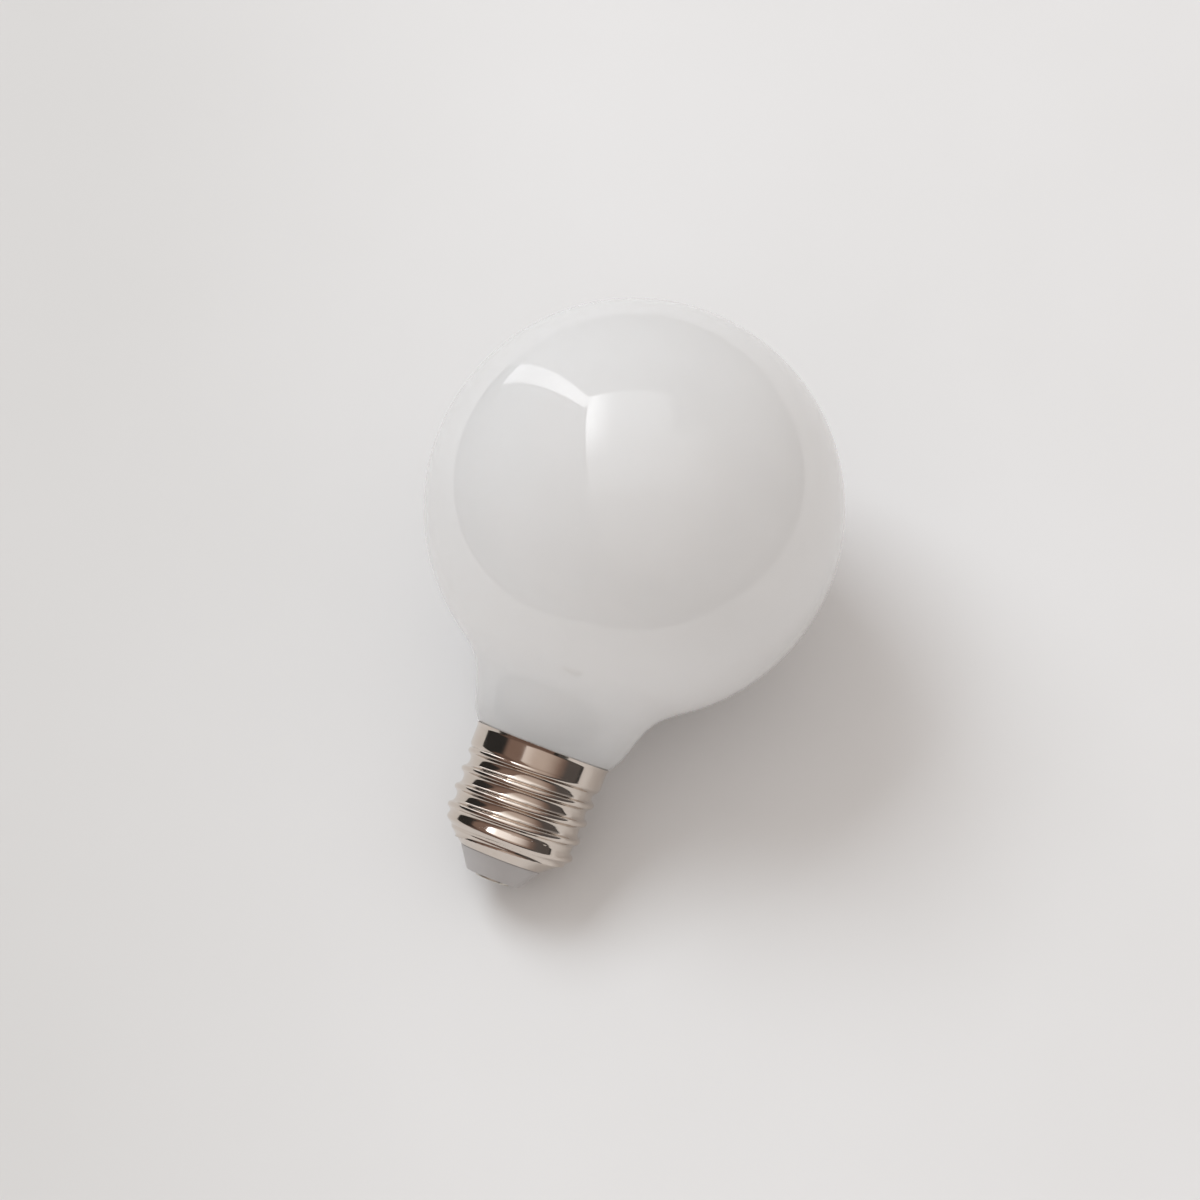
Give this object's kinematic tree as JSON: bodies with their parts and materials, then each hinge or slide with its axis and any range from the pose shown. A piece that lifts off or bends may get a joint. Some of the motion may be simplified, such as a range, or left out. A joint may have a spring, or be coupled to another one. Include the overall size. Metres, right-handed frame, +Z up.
{
  "type": "led light bulb",
  "caption": "Opal glass globe lamp with a short flared neck on a rolled-thread screw cap, with a moulded insulator and an end contact, lying on its side",
  "frame": {"origin": "centre of the bottom of the object's box, on the surface that the lamp lies on", "axes": "+Z is up and +Y runs over the table from the cap's end to the globe; the lamp's own axis lies in the YZ plane and dips 25.4 degrees towards the cap"},
  "size_m": [0.08, 0.1098, 0.08],
  "materials": {
    "opal_glass": "milk white, smooth and glossy, opaque",
    "cement": "dull set cement",
    "nickel_plate": "bright nickel plate on pressed brass sheet",
    "grey_moulding": "light grey moulded plastic, half gloss",
    "contact_metal": "plain bright metal"
  },
  "bodies": {
    "root": {"opal_globe": "opal_glass", "capping_cement": "cement", "screw_shell": "nickel_plate", "insulator": "grey_moulding", "end_contact": "contact_metal"}
  },
  "joints": []
}
